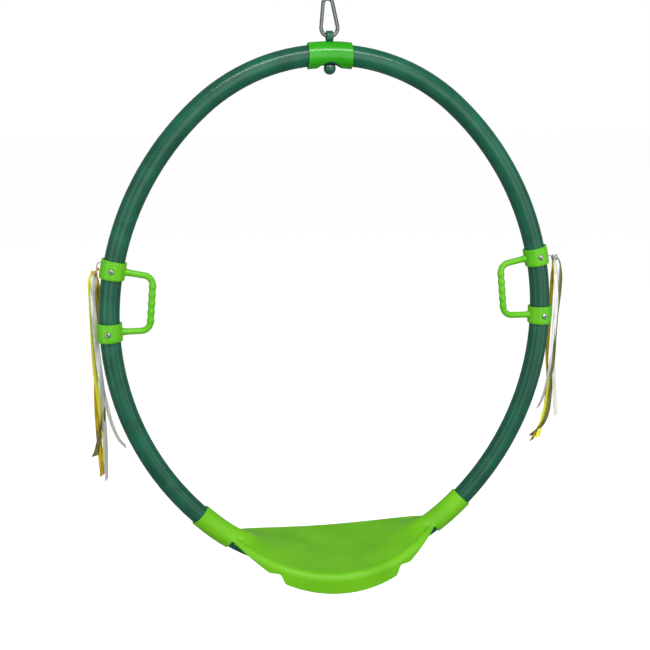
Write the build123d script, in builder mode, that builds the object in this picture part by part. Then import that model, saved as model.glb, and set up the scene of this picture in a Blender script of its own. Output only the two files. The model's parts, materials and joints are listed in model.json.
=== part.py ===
from build123d import *
import os
from math import asin, atan2, cos, degrees, hypot, radians, sin, sqrt

# Oval hoop swing: a steel tube hoop hung from a snap hook, with a moulded seat, two handles
# and a ribbon tassel at each side.
# Millimetres, +Z up, +Y to the back, +X to the right of a person looking at the front.
# The origin is the inside of the snap hook's top bend, where the swing hangs.


# ---------------------------------------------------------------- driving dimensions
# snap hook, pear shaped, narrow end up
hook_wire = 7.0
narrow_bend = 8.5            # centreline radius of the top bend
wide_bend = 15.0             # centreline radius of the bottom bend
bend_spacing = 41.5          # height between the two bend centres
narrow_bend_x = -2.5         # the top bend stands a little to the gate's side
gate_r = 3.3
gate_slot = 2.7
gate_end_gap = 0.6
gate_pin_d = 3.0
tang_r = 3.3
tang_thick = 2.3
tongue_thick = 2.0
tongue_width = 4.4
tongue_height = 4.0
gate_bore_d = 3.6            # blind bore for the spring and its plunger
gate_bore_depth = 14.0
plunger_length = 5.0
spring_wire_r = 0.25
spring_pitch = 1.1
spring_length = 8.2

# eye bolt M10
eye_radius = 10.5
eye_thick = 12.0
eye_hole_r = 4.6
eye_hole_round = 4.0
eye_play = 0.6               # from the hook wire up to the top of the hole
shank_d = 10.0
bolt_hole_d = 10.6
eye_rise = 8.2               # hook wire centre above the sleeve

# hoop: an oval of two end arcs and two side arcs
tube_d = 38.0
tube_wall = 1.5
hoop_half_width = 416.0      # to the tube's centreline
hoop_half_height = 492.0
end_radius = 354.0
joint_offset = 25.0          # the halves meet this far beside the middle
spigot_d = 34.6
spigot_wall = 2.0
spigot_length = 140.0

# top sleeve
sleeve_r = 23.5
sleeve_bore_r = 19.4
sleeve_length = 80.0
sleeve_round = 0.8
nut_opening_x = 23.0         # half sizes of the oval opening under the sleeve
nut_opening_y = 19.6

# nut under the top sleeve
washer_d = 20.0
washer_thick = 2.0
nut_flats = 16.0
nut_height = 8.0
cap_r = 10.8
cap_straight = 5.0
cap_height = 14.0

# seat
seat_half_depth = 118.5
seat_outline_r = 251.0       # plan radius of the front and back edges
seat_saddle_r = 440.0        # the top curves up towards both ends
seat_drop = 469.0            # top of the seat below the hoop's centre
seat_wall = 4.0
seat_rim_round = 3.5
ridge_half_turn = 35.6       # the ridge over the tube reaches both sleeves
skirt_drop = 507.5           # lowest point of the skirt below the hoop's centre
lobe_half = 118.0
lobe_end_drop = 486.0
wing_start = (124.0, 470.5)  # lower edge of the wings: across, and below the hoop's centre
wing_flat = (139.0, 470.5)
wing_end = (190.0, 436.5)
channel_r = 22.6
seat_sleeve_r = 22.2
seat_bore_r = 19.3
seat_sleeve_start = 415.5    # along the centreline, from the hoop's widest point
seat_sleeve_end = 495.0
rib_thick = 3.5
rib_positions = (-84.0, -36.0, 36.0, 84.0)

# handles
collar_r = 23.3
collar_bore_r = 19.4
collar_length = 35.0
upper_collar = 113.0         # along the centreline, from the hoop's widest point
lower_collar = -4.0
arm_r = 6.0
grip_reach = 73.5            # grip's centreline inside the tube's centreline
grip_corner_r = 18.0
bump_r = 6.9
bump_pitch = 16.0
bump_count = 5
collar_round = 3.0

# screws
screw_head_r = 5.3
screw_head_h = 3.4
screw_shank_d = 4.8
screw_length = 16.0
handle_screw_turn = 5.0      # handle screws point this far outwards from the front
screw_lift = 0.3             # between a curved collar and the flat under a screw's head
seat_screw_station = 452.0

# tassels
lug_angle = 55.0             # round the collar, from straight outwards to the back
lug_reach = 28.5             # tube's centreline to the lug's hole
lug_station = 117.5
lug_width = 7.0
lug_thick = 3.0
lug_hole_d = 3.8
ring_r = 7.7                 # to the wire's centre
ring_wire_r = 0.8
ring_turn = 20.0             # the ring's plane is turned this far to the front
tie_angle = 38.0             # below level, round the ring
tie_r = 3.2
tie_length = 4.4
tie_bore_r = 1.5
tie_neck_r = 1.6
knot_size = 12.0
knot_height = 6.0
knot_top_z = 105.0            # above the hoop's centre
ribbon_x = 443.0
ribbon_y = 19.2
ribbon_width = 10.0
ribbon_thick = 1.2
ribbon_pitch = 2.2
ribbon_length = 395.0
ribbon_colours = ("gold", "silver", "olive", "lime", "pearl")

# ---------------------------------------------------------------- derived places
narrow_z = -(narrow_bend - hook_wire / 2)
wide_z = narrow_z - bend_spacing
pivot_z = wide_z - wide_bend
sleeve_top_z = pivot_z - eye_rise
hoop_z = sleeve_top_z - sleeve_r - hoop_half_height
tube_r = tube_d / 2

side_radius = (hoop_half_width**2 + (hoop_half_height - end_radius)**2 - end_radius**2) / (
    2 * (hoop_half_width - end_radius))
side_x = hoop_half_width - side_radius      # centre of the right side arc
end_z = hoop_half_height - end_radius       # centre of the top arc above the hoop's centre
side_angle = degrees(atan2(end_z, -side_x))  # where the side and end arcs meet


def station(distance, out=0.0):
    """Point on the right half, by distance up the centreline from the widest point."""
    side_run = radians(side_angle) * side_radius
    sign = 1 if distance >= 0 else -1
    if abs(distance) <= side_run:
        turn = abs(distance) / side_radius
        x = side_x + (side_radius + out) * cos(turn)
        z = (side_radius + out) * sin(turn)
    else:
        turn = radians(side_angle) + (abs(distance) - side_run) / end_radius
        x = (end_radius + out) * cos(turn)
        z = end_z + (end_radius + out) * sin(turn)
    return x, hoop_z + sign * z


def side_arc(first, last):
    """Centreline of a stretch of the right side arc, between two distances."""
    start = degrees(first / side_radius)
    return CenterArc((side_x, hoop_z), side_radius, start, degrees((last - first) / side_radius))


def end_arc(start_angle, arc_size, top=True):
    """Centreline of a stretch of the top or bottom arc, by angle from +X."""
    return CenterArc((0, hoop_z + (end_z if top else -end_z)), end_radius, start_angle, arc_size)


def pipe(path, outer_r, inner_r=0.0, mode=Mode.ADD):
    """Sweep a round bar or tube along a path in the active part."""
    with BuildSketch(Plane(path @ 0, z_dir=path % 0)) as section:
        Circle(outer_r)
        if inner_r:
            Circle(inner_r, mode=Mode.SUBTRACT)
    sweep(section.sketch, path=path, mode=mode)


def drill(plane, radius, depth, both=False):
    """Cut a round hole into the active part, along a plane's normal."""
    with BuildSketch(plane) as section:
        Circle(radius)
    extrude(section.sketch, amount=depth, both=both, mode=Mode.SUBTRACT)


def finish(part, name):
    """Name a finished piece and write it."""
    part.label = name
    export_step(part, f"parts/{name}.step")
    print(f"{name:22s} {len(part.solids()):2d} solid(s) {part.volume / 1000:9.2f} cm3")


def finish_pair(part, name):
    """Write a right-hand piece and its mirror image for the left."""
    finish(part, f"right_{name}")
    with BuildPart() as left:
        mirror(part, about=Plane.YZ)
    finish(left.part, f"left_{name}")


os.makedirs("parts", exist_ok=True)

# ---------------------------------------------------------------- snap hook
# the legs are the outer tangents of the two bends: their normals' angles from +X
bend_line = atan2(-bend_spacing, -narrow_bend_x)
leg_spread = radians(90) + asin((wide_bend - narrow_bend) / hypot(bend_spacing, narrow_bend_x))
right_normal = degrees(bend_line + leg_spread)
left_normal = degrees(bend_line - leg_spread) + 360
left_out = Vector(cos(radians(left_normal)), 0, sin(radians(left_normal)))
gate_pivot = Vector(narrow_bend_x, 0, narrow_z) + left_out * narrow_bend
nose_point = Vector(0, 0, wide_z) + left_out * wide_bend
gate_dir = (nose_point - gate_pivot).normalized()
gate_end = (nose_point - gate_pivot).length - gate_end_gap
gate_plane = Plane(gate_pivot, x_dir=(0, 1, 0), z_dir=gate_dir)
pivot_plane = Plane(gate_pivot, z_dir=(0, 1, 0))
nose_plane = Plane(nose_point, x_dir=(0, 1, 0), z_dir=gate_dir * -1)

with BuildPart() as hook_body:
    with BuildLine(Plane.XZ) as hook_path:
        top_bend = CenterArc(
            (narrow_bend_x, narrow_z), narrow_bend, left_normal, right_normal - left_normal)
        bottom_bend = CenterArc(
            (0, wide_z), wide_bend, right_normal, left_normal - right_normal - 360)
        Line(top_bend @ 1, bottom_bend @ 0)
    pipe(hook_path.wire(), hook_wire / 2)
    # the wire's end is flattened to a tang between the gate's ears
    for side in (1, -1):
        with BuildSketch(pivot_plane.offset(side * tang_thick / 2)):
            Circle(tang_r + 0.4)
        extrude(amount=side * hook_wire, mode=Mode.SUBTRACT)
    with BuildSketch(pivot_plane.offset(-tang_thick / 2)):
        Circle(tang_r)
    extrude(amount=tang_thick)
    with BuildSketch(pivot_plane):
        Circle(gate_pin_d / 2)
    extrude(amount=hook_wire, both=True, mode=Mode.SUBTRACT)
    # flat tongue that the closed gate's slot sits over
    with BuildSketch(nose_plane):
        Rectangle(tongue_thick, tongue_width)
    extrude(amount=tongue_height)
finish(hook_body.part, "snap_hook_body")

with BuildPart() as gate:
    with BuildSketch(gate_plane):
        Circle(gate_r)
    extrude(amount=gate_end)
    # round head at the pivot
    with Locations(Plane(gate_pivot)):
        Sphere(gate_r)
    # slots for the tang and the tongue, the bore for the spring
    with BuildSketch(gate_plane.offset(-2 * gate_r)):
        Rectangle(gate_slot, 3 * gate_r)
    extrude(amount=2 * gate_r + tang_r + 0.4, mode=Mode.SUBTRACT)
    with BuildSketch(gate_plane.offset(gate_end)):
        Rectangle(gate_slot, 3 * gate_r)
    extrude(amount=-(tongue_height + 0.4), mode=Mode.SUBTRACT)
    with BuildSketch(gate_plane.offset(tang_r)):
        Circle(gate_bore_d / 2)
    extrude(amount=gate_bore_depth, mode=Mode.SUBTRACT)
    with BuildSketch(pivot_plane):
        Circle(gate_pin_d / 2 + 0.05)
    extrude(amount=hook_wire, both=True, mode=Mode.SUBTRACT)
finish(gate.part, "snap_hook_gate")

with BuildPart() as gate_pin:
    with BuildSketch(pivot_plane):
        Circle(gate_pin_d / 2)
    extrude(amount=gate_r, both=True)
    chamfer(gate_pin.edges(), 0.3)
finish(gate_pin.part, "gate_pin")

with BuildPart() as plunger:
    with BuildSketch(gate_plane.offset(tang_r + 0.1)):
        Circle(gate_bore_d / 2 - 0.15)
    extrude(amount=plunger_length)
    chamfer(plunger.edges(), 0.4)
finish(plunger.part, "gate_plunger")

spring_start = gate_pivot + gate_dir * (tang_r + 0.1 + plunger_length + 0.1 + spring_wire_r)
with BuildPart() as spring:
    with BuildLine() as spring_path:
        Helix(spring_pitch, spring_length, gate_bore_d / 2 - 0.2 - spring_wire_r,
              center=spring_start, direction=gate_dir)
    with BuildSketch(Plane(spring_path.wire() @ 0, z_dir=spring_path.wire() % 0)):
        Circle(spring_wire_r)
    sweep(path=spring_path.wire(), is_frenet=True)
finish(spring.part, "gate_spring")

# ---------------------------------------------------------------- hoop tubes and spigots
joint_turn = degrees(joint_offset / end_radius)
spigot_turn = degrees(spigot_length / end_radius)
tube_under_z = hoop_z + hoop_half_height - tube_r

with BuildPart() as half_right:
    with BuildLine(Plane.XZ) as half_path:
        end_arc(-90 - joint_turn, 90 + joint_turn - side_angle, top=False)
        CenterArc((side_x, hoop_z), side_radius, -side_angle, 2 * side_angle)
        end_arc(side_angle, 90 - joint_turn - side_angle)
    pipe(half_path.wire(), tube_r, tube_r - tube_wall)
turned_half = half_right.part.rotate(Axis((0, 0, hoop_z), (0, 1, 0)), 180)


def front_screw_plane(distance, side):
    """Where a handle screw enters: on the tube's centreline, pointing to the front."""
    x, z = station(distance)
    turn = radians(handle_screw_turn)
    out = (side * sin(turn), -cos(turn), 0)
    return Plane((side * x, 0, z), x_dir=(cos(turn), side * sin(turn), 0), z_dir=out)


def seat_screw_plane(side):
    """Where a seat screw enters: on the tube's centreline, pointing to the back."""
    x, z = station(-seat_screw_station)
    return Plane((side * x, 0, z), x_dir=(1, 0, 0), z_dir=(0, 1, 0))


def drill_tube(side):
    """Screw holes in one half: side is 1 for the right, -1 for the left."""
    for distance in (upper_collar, lower_collar):
        drill(front_screw_plane(distance, side), screw_shank_d / 2, tube_d)
    drill(seat_screw_plane(side), screw_shank_d / 2, tube_d)


with BuildPart() as right_tube:
    add(half_right.part)
    drill_tube(1)
finish(right_tube.part, "right_hoop_tube")

with BuildPart() as left_tube:
    add(turned_half)
    drill_tube(-1)
    with Locations((0, 0, hoop_z + hoop_half_height)):
        Cylinder(bolt_hole_d / 2, 2 * tube_d, mode=Mode.SUBTRACT)
finish(left_tube.part, "left_hoop_tube")

with BuildPart() as top_spigot:
    with BuildLine(Plane.XZ) as top_spigot_path:
        end_arc(90 - joint_turn - spigot_turn / 2, spigot_turn)
    pipe(top_spigot_path.wire(), spigot_d / 2, spigot_d / 2 - spigot_wall)
    with Locations((0, 0, hoop_z + hoop_half_height)):
        Cylinder(bolt_hole_d / 2, 2 * tube_d, mode=Mode.SUBTRACT)
finish(top_spigot.part, "top_spigot")

with BuildPart() as bottom_spigot:
    with BuildLine(Plane.XZ) as bottom_spigot_path:
        end_arc(-90 - joint_turn - spigot_turn / 2, spigot_turn, top=False)
    pipe(bottom_spigot_path.wire(), spigot_d / 2, spigot_d / 2 - spigot_wall)
finish(bottom_spigot.part, "bottom_spigot")

# ---------------------------------------------------------------- top sleeve and its bolt
sleeve_turn = degrees(sleeve_length / end_radius)
with BuildPart() as top_sleeve:
    with BuildLine(Plane.XZ) as sleeve_path:
        end_arc(90 - sleeve_turn, 2 * sleeve_turn)
    pipe(sleeve_path.wire(), sleeve_r, sleeve_bore_r)
    with Locations((0, 0, hoop_z + hoop_half_height)):
        Box(sleeve_length, 3 * sleeve_r, 4 * sleeve_r, mode=Mode.INTERSECT)
    # oval opening for the nut, from below to the middle
    with BuildSketch(Plane.XY.offset(hoop_z + hoop_half_height)):
        Ellipse(nut_opening_x, nut_opening_y)
    extrude(amount=-2 * sleeve_r, mode=Mode.SUBTRACT)
    with BuildSketch(Plane.XY.offset(hoop_z + hoop_half_height)):
        Circle(bolt_hole_d / 2)
    extrude(amount=2 * sleeve_r, mode=Mode.SUBTRACT)
    end_edges = top_sleeve.edges().filter_by(
        lambda edge: abs(abs(edge.center().X) - sleeve_length / 2) < 0.5)
    fillet(end_edges, sleeve_round)
finish(top_sleeve.part, "top_sleeve")

washer_top_z = tube_under_z - 0.25
nut_top_z = washer_top_z - washer_thick
shank_end_z = nut_top_z - nut_height - 1.3
eye_z = pivot_z + hook_wire / 2 + eye_play - eye_hole_r
with BuildPart() as eye_bolt:
    with BuildSketch(Plane.YZ.offset(-eye_thick / 2)):
        with Locations((0, eye_z)):
            Circle(eye_radius)
            Circle(eye_hole_r, mode=Mode.SUBTRACT)
    extrude(amount=eye_thick)
    hole_edges = eye_bolt.edges().filter_by(GeomType.CIRCLE).filter_by(
        lambda edge: edge.radius < eye_hole_r + 0.1)
    fillet(hole_edges, eye_hole_round)
    rim_edges = eye_bolt.edges().filter_by(GeomType.CIRCLE).filter_by(
        lambda edge: edge.radius > eye_radius - 0.1)
    fillet(rim_edges, 1.0)
    # flat seat on the sleeve, then the shank down through the tube
    with BuildSketch(Plane.XY.offset(sleeve_top_z)):
        Rectangle(3 * eye_thick, 3 * eye_radius)
    extrude(amount=-eye_radius, mode=Mode.SUBTRACT)
    with BuildSketch(Plane.XY.offset(sleeve_top_z)):
        Circle(shank_d / 2)
    extrude(amount=shank_end_z - sleeve_top_z)
finish(eye_bolt.part, "eye_bolt")

with BuildPart() as washer:
    with BuildSketch(Plane.XY.offset(nut_top_z)):
        Circle(washer_d / 2)
        Circle(shank_d / 2 + 0.3, mode=Mode.SUBTRACT)
    extrude(amount=washer_thick)
finish(washer.part, "flat_washer")

with BuildPart() as nut:
    with BuildSketch(Plane.XY.offset(nut_top_z - nut_height)):
        RegularPolygon(nut_flats / 2, 6, major_radius=False)
        Circle(shank_d / 2, mode=Mode.SUBTRACT)
    extrude(amount=nut_height)
finish(nut.part, "hex_nut")

with BuildPart() as nut_cap:
    with BuildSketch(Plane.XZ):
        with BuildLine():
            dome = TangentArc(
                (0, nut_top_z - cap_height), (cap_r, nut_top_z - cap_straight), tangent=(1, 0))
            Polyline(dome @ 1, (cap_r, nut_top_z), (0, nut_top_z), dome @ 0)
        make_face()
    revolve(axis=Axis.Z)
    with BuildSketch(Plane.XY.offset(nut_top_z)):
        Circle(nut_flats / sqrt(3) + 0.3)
    extrude(amount=-nut_height - 0.2, mode=Mode.SUBTRACT)
    with BuildSketch(Plane.XY.offset(nut_top_z)):
        Circle(shank_d / 2 + 0.5)
    extrude(amount=-nut_height - 2.2, mode=Mode.SUBTRACT)
finish(nut_cap.part, "nut_cap")

# ---------------------------------------------------------------- seat
seat_top_z = hoop_z - seat_drop
seat_tip_x = sqrt(seat_outline_r**2 - (seat_outline_r - seat_half_depth)**2)
seat_trim_x = 203.0


def saddle_z(x, below=0.0):
    """Height of the seat's top surface, or of a surface parallel to it."""
    return seat_top_z + seat_saddle_r - sqrt((seat_saddle_r + below)**2 - x**2)


def lens(inset):
    """Tall prism on the seat's plan outline: two arcs that meet at the ends."""
    depth = seat_half_depth - inset
    radius = seat_outline_r - inset
    tip = sqrt(radius**2 - (radius - depth)**2)
    with BuildSketch(Plane.XY.offset(hoop_z - hoop_half_height - 2 * tube_d)) as outline:
        with BuildLine():
            ThreePointArc((-tip, 0), (0, depth), (tip, 0))
            ThreePointArc((-tip, 0), (0, -depth), (tip, 0))
        make_face()
    extrude(outline.sketch, amount=8 * tube_d)


seat_floor = hoop_z - 2 * hoop_half_height      # well below everything
with BuildPart() as seat_block:
    lens(0)
    with BuildSketch(Plane.XZ):
        with BuildLine():
            crest = ThreePointArc(
                (-seat_trim_x, saddle_z(seat_trim_x)), (0, seat_top_z),
                (seat_trim_x, saddle_z(seat_trim_x)))
            lobe = ThreePointArc(
                (-lobe_half, hoop_z - lobe_end_drop), (0, hoop_z - skirt_drop),
                (lobe_half, hoop_z - lobe_end_drop))
            for side, lobe_end, crest_end in ((-1, lobe @ 0, crest @ 0), (1, lobe @ 1, crest @ 1)):
                Polyline(
                    lobe_end,
                    (side * wing_start[0], hoop_z - wing_start[1]),
                    (side * wing_flat[0], hoop_z - wing_flat[1]),
                    (side * wing_end[0], hoop_z - wing_end[1]),
                    crest_end)
        make_face()
    extrude(amount=2 * seat_half_depth, both=True, mode=Mode.INTERSECT)
    top_edges = seat_block.edges().sort_by(SortBy.LENGTH)[-2:]
    fillet(top_edges, seat_rim_round)

with BuildPart() as seat_hollow:
    lens(seat_wall)
    with BuildSketch(Plane.XZ):
        with BuildLine():
            roof = ThreePointArc(
                (-seat_trim_x, saddle_z(seat_trim_x, seat_wall)),
                (0, saddle_z(0, seat_wall)),
                (seat_trim_x, saddle_z(seat_trim_x, seat_wall)))
            Polyline(roof @ 1, (seat_trim_x, seat_floor), (-seat_trim_x, seat_floor), roof @ 0)
        make_face()
    extrude(amount=2 * seat_half_depth, both=True, mode=Mode.INTERSECT)

with BuildPart() as seat_ribs:
    for x in rib_positions:
        with Locations((x, 0, hoop_z - hoop_half_height)):
            Box(rib_thick, 2 * seat_half_depth, 4 * tube_d)
    add(seat_hollow.part, mode=Mode.INTERSECT)
    add(seat_block.part, mode=Mode.INTERSECT)

# the ridge follows the tube from sleeve to sleeve, open below outside the seat's own outline
with BuildPart() as ridge_room:
    with BuildSketch(Plane.XZ):
        with Locations((0, hoop_z - end_z)):
            Circle(end_radius)
    extrude(amount=seat_half_depth, both=True)
    add(seat_block.part)

with BuildPart() as seat_ridge:
    with BuildLine(Plane.XZ) as ridge_path:
        end_arc(-90 - ridge_half_turn, 2 * ridge_half_turn, top=False)
    pipe(ridge_path.wire(), channel_r)
    add(ridge_room.part, mode=Mode.INTERSECT)

with BuildPart() as tube_room:
    with BuildLine(Plane.XZ) as room_path:
        end_arc(-180 + side_angle, 180 - 2 * side_angle, top=False)
        CenterArc((side_x, hoop_z), side_radius, -side_angle, side_angle / 2)
        CenterArc((-side_x, hoop_z), side_radius, 180 + side_angle / 2, side_angle / 2)
    pipe(room_path.wire(), seat_bore_r)

side_run = radians(side_angle) * side_radius
sleeve_past = degrees((seat_sleeve_end - side_run) / end_radius)
sleeve_above = side_angle - degrees(seat_sleeve_start / side_radius)
with BuildPart() as seat_sleeve:
    with BuildLine(Plane.XZ) as seat_sleeve_path:
        end_arc(-side_angle - sleeve_past, sleeve_past, top=False)
        CenterArc((side_x, hoop_z), side_radius, -side_angle, sleeve_above)
    pipe(seat_sleeve_path.wire(), seat_sleeve_r)

with BuildPart() as seat:
    add(seat_block.part)
    add(seat_hollow.part, mode=Mode.SUBTRACT)
    add(seat_ribs.part)
    add(seat_ridge.part)
    add(seat_sleeve.part)
    mirror(seat_sleeve.part, about=Plane.YZ)
    add(tube_room.part, mode=Mode.SUBTRACT)
    for side in (1, -1):
        drill(seat_screw_plane(side), screw_shank_d / 2 + 0.2, tube_d)
finish(seat.part, "seat")


def screw(plane):
    """Pan head screw across the tube, its head's underside on the plane."""
    with BuildSketch(plane) as shank:
        Circle(screw_shank_d / 2)
    extrude(shank.sketch, amount=-screw_length)
    with BuildSketch(plane) as head:
        Circle(screw_head_r)
    extrude(head.sketch, amount=screw_head_h, taper=18)


with BuildPart() as seat_screws:
    for side in (1, -1):
        screw(seat_screw_plane(side).offset(seat_sleeve_r + screw_lift))
finish(seat_screws.part, "seat_screws")

# ---------------------------------------------------------------- handles
with BuildPart() as handle_screws:
    for distance in (upper_collar, lower_collar):
        screw(front_screw_plane(distance, 1).offset(collar_r + screw_lift))
finish_pair(handle_screws.part, "handle_screws")

grip_points = [
    station(upper_collar, -tube_r - 3), station(upper_collar, -grip_reach),
    station(lower_collar, -grip_reach), station(lower_collar, -tube_r - 3)]
lug_dir = Vector(cos(radians(lug_angle)), sin(radians(lug_angle)), 0)
lug_x, lug_z = station(lug_station)
lug_base = Vector(lug_x, 0, lug_z)
lug_hole = lug_base + lug_dir * lug_reach
lug_plane = Plane(lug_base, x_dir=lug_dir, z_dir=(0, 0, 1))
with BuildPart() as handle:
    with BuildLine(Plane.XZ) as arm_path:
        FilletPolyline(*grip_points, radius=grip_corner_r)
    pipe(arm_path.wire(), arm_r)
    # finger bumps along the grip
    grip_top = Vector(grip_points[1][0], 0, grip_points[1][1])
    grip_run = Vector(grip_points[2][0], 0, grip_points[2][1]) - grip_top
    for number in range(bump_count):
        along = 0.5 * grip_run.length + (number - (bump_count - 1) / 2) * bump_pitch
        with Locations(grip_top + grip_run.normalized() * along):
            Sphere(bump_r)
    # a ring round the tube at each end
    for middle in (upper_collar, lower_collar):
        with BuildLine(Plane.XZ) as collar_path:
            side_arc(middle - collar_length / 2, middle + collar_length / 2)
        pipe(collar_path.wire(), collar_r)
    # eye for the tassel's ring
    with BuildSketch(lug_plane.offset(-lug_thick / 2)):
        with Locations((lug_reach / 2, 0)):
            Rectangle(lug_reach, lug_width)
        with Locations((lug_reach, 0)):
            Circle(lug_width / 2)
    extrude(amount=lug_thick)
    drill(Plane(lug_hole), lug_hole_d / 2, lug_thick, both=True)
    with BuildLine(Plane.XZ) as bore_path:
        side_arc(lower_collar - collar_length, upper_collar + collar_length)
    pipe(bore_path.wire(), collar_bore_r, mode=Mode.SUBTRACT)
    for distance in (upper_collar, lower_collar):
        drill(front_screw_plane(distance, 1), screw_shank_d / 2 + 0.2, tube_d)
finish_pair(handle.part, "handle")

# ---------------------------------------------------------------- tassels
ring_dir = Vector(cos(radians(ring_turn)), -sin(radians(ring_turn)), 0)
ring_axis = Vector(-sin(radians(ring_turn)), -cos(radians(ring_turn)), 0)
ring_centre = lug_hole + ring_dir * ring_r
up = Vector(0, 0, 1)
tie_out = ring_dir * cos(radians(tie_angle)) - up * sin(radians(tie_angle))
tie_axis = ring_dir * sin(radians(tie_angle)) + up * cos(radians(tie_angle))
tie_point = ring_centre + tie_out * ring_r
knot_top = Vector(ribbon_x, ribbon_y, hoop_z + knot_top_z)

with BuildPart() as split_ring:
    with Locations(Plane(ring_centre, z_dir=ring_axis)):
        Torus(ring_r, ring_wire_r)
finish_pair(split_ring.part, "ring")

with BuildPart() as tie:
    with Locations(Plane(tie_point, z_dir=tie_axis)):
        Cylinder(tie_r, tie_length)
    with BuildLine() as neck_path:
        Line(tie_point + tie_out * (tie_bore_r + 0.8), knot_top - up * (knot_height / 2))
    pipe(neck_path.wire(), tie_neck_r)
    with Locations(knot_top - up * (knot_height / 2)):
        Box(knot_size, knot_size, knot_height)
    drill(Plane(tie_point, z_dir=tie_axis), tie_bore_r, tie_length, both=True)
finish_pair(tie.part, "tie")

for number, colour in enumerate(ribbon_colours):
    shift = (number - (len(ribbon_colours) - 1) / 2) * ribbon_pitch
    with BuildPart() as ribbon:
        with Locations(knot_top + Vector(0, shift, -knot_height)):
            Box(ribbon_width, ribbon_thick, ribbon_length,
                align=(Align.CENTER, Align.CENTER, Align.MAX))
    finish_pair(ribbon.part, f"ribbon_{colour}")
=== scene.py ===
import json
import bmesh
import bpy
import numpy as np
from mathutils import Matrix, Vector


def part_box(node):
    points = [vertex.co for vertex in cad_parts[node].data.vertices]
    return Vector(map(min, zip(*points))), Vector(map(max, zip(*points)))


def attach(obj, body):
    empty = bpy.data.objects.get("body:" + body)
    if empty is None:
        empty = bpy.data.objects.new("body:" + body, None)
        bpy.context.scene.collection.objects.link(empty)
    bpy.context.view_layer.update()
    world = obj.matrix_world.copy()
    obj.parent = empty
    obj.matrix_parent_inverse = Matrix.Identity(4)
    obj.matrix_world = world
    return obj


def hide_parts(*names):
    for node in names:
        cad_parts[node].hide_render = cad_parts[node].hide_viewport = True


bl_info = {
    "name": "Oval hoop swing",
    "version": (1, 0, 0),
    "blender": (4, 5, 0),
    "location": "View3D > Sidebar > Hoop swing",
    "description": "Dresses an oval hoop swing's frame with its seat, handles, tassels and finishes",
    "category": "Object",
}

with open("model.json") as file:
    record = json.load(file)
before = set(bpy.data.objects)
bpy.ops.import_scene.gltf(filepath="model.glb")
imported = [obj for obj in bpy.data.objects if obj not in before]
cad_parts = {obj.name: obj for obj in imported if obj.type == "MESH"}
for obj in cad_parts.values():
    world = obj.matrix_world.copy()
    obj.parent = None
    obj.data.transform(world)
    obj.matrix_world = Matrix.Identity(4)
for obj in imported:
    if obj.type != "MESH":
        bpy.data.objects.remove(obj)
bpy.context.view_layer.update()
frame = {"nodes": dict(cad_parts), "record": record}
MM = 0.001
HOOP_LOW, HOOP_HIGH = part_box("left_hoop_tube")
HOOP_Z = 0.5 * (HOOP_LOW.z + HOOP_HIGH.z)          # height of the hoop's centre, in metres
SIDES = {"right": 1.0, "left": -1.0}
FLOOR_Z = HOOP_Z - 0.511 - 0.35                    # 0.35 m below the hoop's lowest point
ROOM_LIGHT, ROOM_GLOSS = 0.42, 0.24      # the room's light on surfaces, and in their gloss


# ------------------------------------------------------------------ settings
def metres(name, description, default):
    return bpy.props.FloatProperty(
        name=name, description=description, default=default, unit="LENGTH")


def tint(name, description, code):
    return bpy.props.StringProperty(name=name, description=description, default=code)


class SwingSizes(bpy.types.PropertyGroup):
    """Sizes of the pieces, in metres; places come from the frame."""

    half_width: metres("Hoop half width", "To the tube's centreline", 0.416)
    half_height: metres("Hoop half height", "To the tube's centreline", 0.492)
    end_radius: metres("End arc radius", "Of the hoop's top and bottom", 0.354)
    seat_depth: metres("Seat half depth", "From the tube to the front edge", 0.1185)
    seat_outline: metres("Seat edge radius", "Of the seat's edge seen from above", 0.251)
    seat_saddle: metres("Seat saddle radius", "Of the top's curve seen from the front", 0.440)
    seat_drop: metres("Seat drop", "Top of the seat below the hoop's centre", 0.469)
    seat_rim: metres("Seat front rim", "Radius of the seat's rolled front edge", 0.012)
    seat_back_rim: metres("Seat back rim", "Radius of the seat's rolled back edge", 0.005)
    seat_back_lift: metres("Seat back lift", "The back edge stands this much higher", 0.0025)
    seat_wall: metres("Seat wall", "Thickness of the moulding", 0.0035)
    sleeve_radius: metres("Seat sleeve radius", "Outside of the seat's sleeves", 0.0222)
    collar_radius: metres("Collar radius", "Outside of the handles' collars", 0.0233)
    collar_length: metres("Collar length", "Along the tube", 0.035)
    bore_radius: metres("Bore radius", "Inside of the collars and sleeves", 0.0194)
    arm_radius: metres("Arm radius", "Of the handles' arms", 0.006)
    bump_pitch: metres("Finger bump pitch", "Between neighbouring bumps", 0.016)
    ring_radius: metres("Split ring radius", "To the wire's centre", 0.0077)
    ribbon_width: metres("Ribbon width", "Across one flat ribbon", 0.010)


class SwingColours(bpy.types.PropertyGroup):
    """Colours of the finishes, as sRGB hex values."""

    tube: tint("Tube", "Powder coat of the hoop", "#125a42")
    seat: tint("Seat", "Moulded seat", "#6fbe10")
    handle: tint("Handles", "Moulded handles", "#69b612")
    sleeve: tint("Top sleeve", "Moulded sleeve under the hook", "#259a04")
    steel: tint("Zinc", "Zinc plated nut, washer and rivets", "#a3aaa4")
    gold: tint("Gold foil", "Gold ribbons", "#f2d33a")
    silver: tint("Silver foil", "Silver ribbons", "#e2e5de")
    olive: tint("Olive foil", "Olive ribbons", "#93945a")
    lime: tint("Lime film", "Lime ribbons", "#f7f84a")
    pearl: tint("Pearl film", "Pearl ribbons", "#e6e9d6")


class SwingSettings(bpy.types.PropertyGroup):
    """Everything the panel shows."""

    sizes: bpy.props.PointerProperty(
        type=SwingSizes, name="Sizes", description="Sizes of the pieces")
    colours: bpy.props.PointerProperty(
        type=SwingColours, name="Colours", description="Colours of the finishes")


def settings():
    return bpy.context.scene.hoop_swing


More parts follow.
